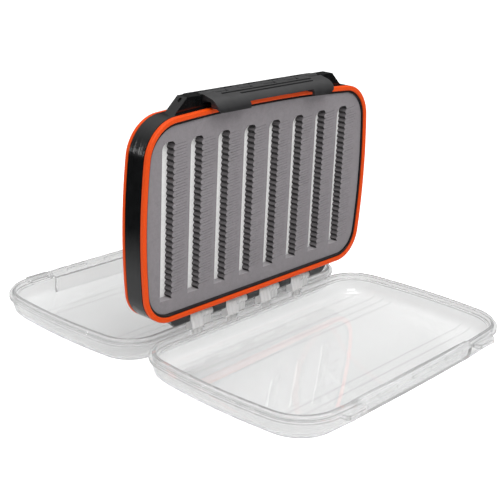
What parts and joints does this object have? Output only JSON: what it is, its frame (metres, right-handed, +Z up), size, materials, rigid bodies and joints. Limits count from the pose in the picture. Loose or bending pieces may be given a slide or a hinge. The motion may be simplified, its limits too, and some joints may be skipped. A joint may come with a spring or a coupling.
{
  "type": "fly box",
  "caption": "Upright fishing fly box: a slotted foam panel in a black plastic frame with orange seals, a clear hinged lid lying open on each side and folding latches along the top.",
  "frame": {"origin": "middle of the base of the bounding box, on the ground under the hinge line", "axes": "+Z up, the front lid lies towards -Y and the rear lid towards +Y, +X across the panel to the right as seen from the front"},
  "size_m": [0.1908, 0.2432, 0.1418],
  "materials": {
    "black_plastic": "satin-gloss injection-moulded ABS",
    "orange_silicone": "smooth moulded silicone",
    "grey_foam": "fine closed-cell EVA foam",
    "white_foam": "fine closed-cell EVA foam",
    "clear_plastic": "clear injection-moulded polycarbonate",
    "steel_pin": "drawn steel wire"
  },
  "bodies": {
    "panel": {"frame": "black_plastic", "front_seal": "orange_silicone", "rear_seal": "orange_silicone", "front_foam": "grey_foam", "rear_foam": "grey_foam", "front_foam_base": "white_foam", "rear_foam_base": "white_foam", "latch_pin": "steel_pin"},
    "front_lid_body": {"front_lid": "clear_plastic"},
    "rear_lid_body": {"rear_lid": "clear_plastic"},
    "front_latch_body": {"front_latch": "black_plastic"},
    "rear_latch_body": {"rear_latch": "black_plastic"}
  },
  "joints": [
    {"name": "front_lid_hinge", "type": "hinge", "parent": "panel", "child": "front_lid_body", "pos_m": [0, 0, 0.0199], "axis": [-1, 0, 0], "range_deg": [0, 90]},
    {"name": "rear_lid_hinge", "type": "hinge", "parent": "panel", "child": "rear_lid_body", "pos_m": [0, 0, 0.0199], "axis": [1, 0, 0], "range_deg": [0, 90]},
    {"name": "front_latch_hinge", "type": "hinge", "parent": "panel", "child": "front_latch_body", "pos_m": [0, 0, 0.13955], "axis": [-1, 0, 0], "range_deg": [0, 55]},
    {"name": "rear_latch_hinge", "type": "hinge", "parent": "panel", "child": "rear_latch_body", "pos_m": [0, 0, 0.13955], "axis": [1, 0, 0], "range_deg": [0, 55]}
  ]
}
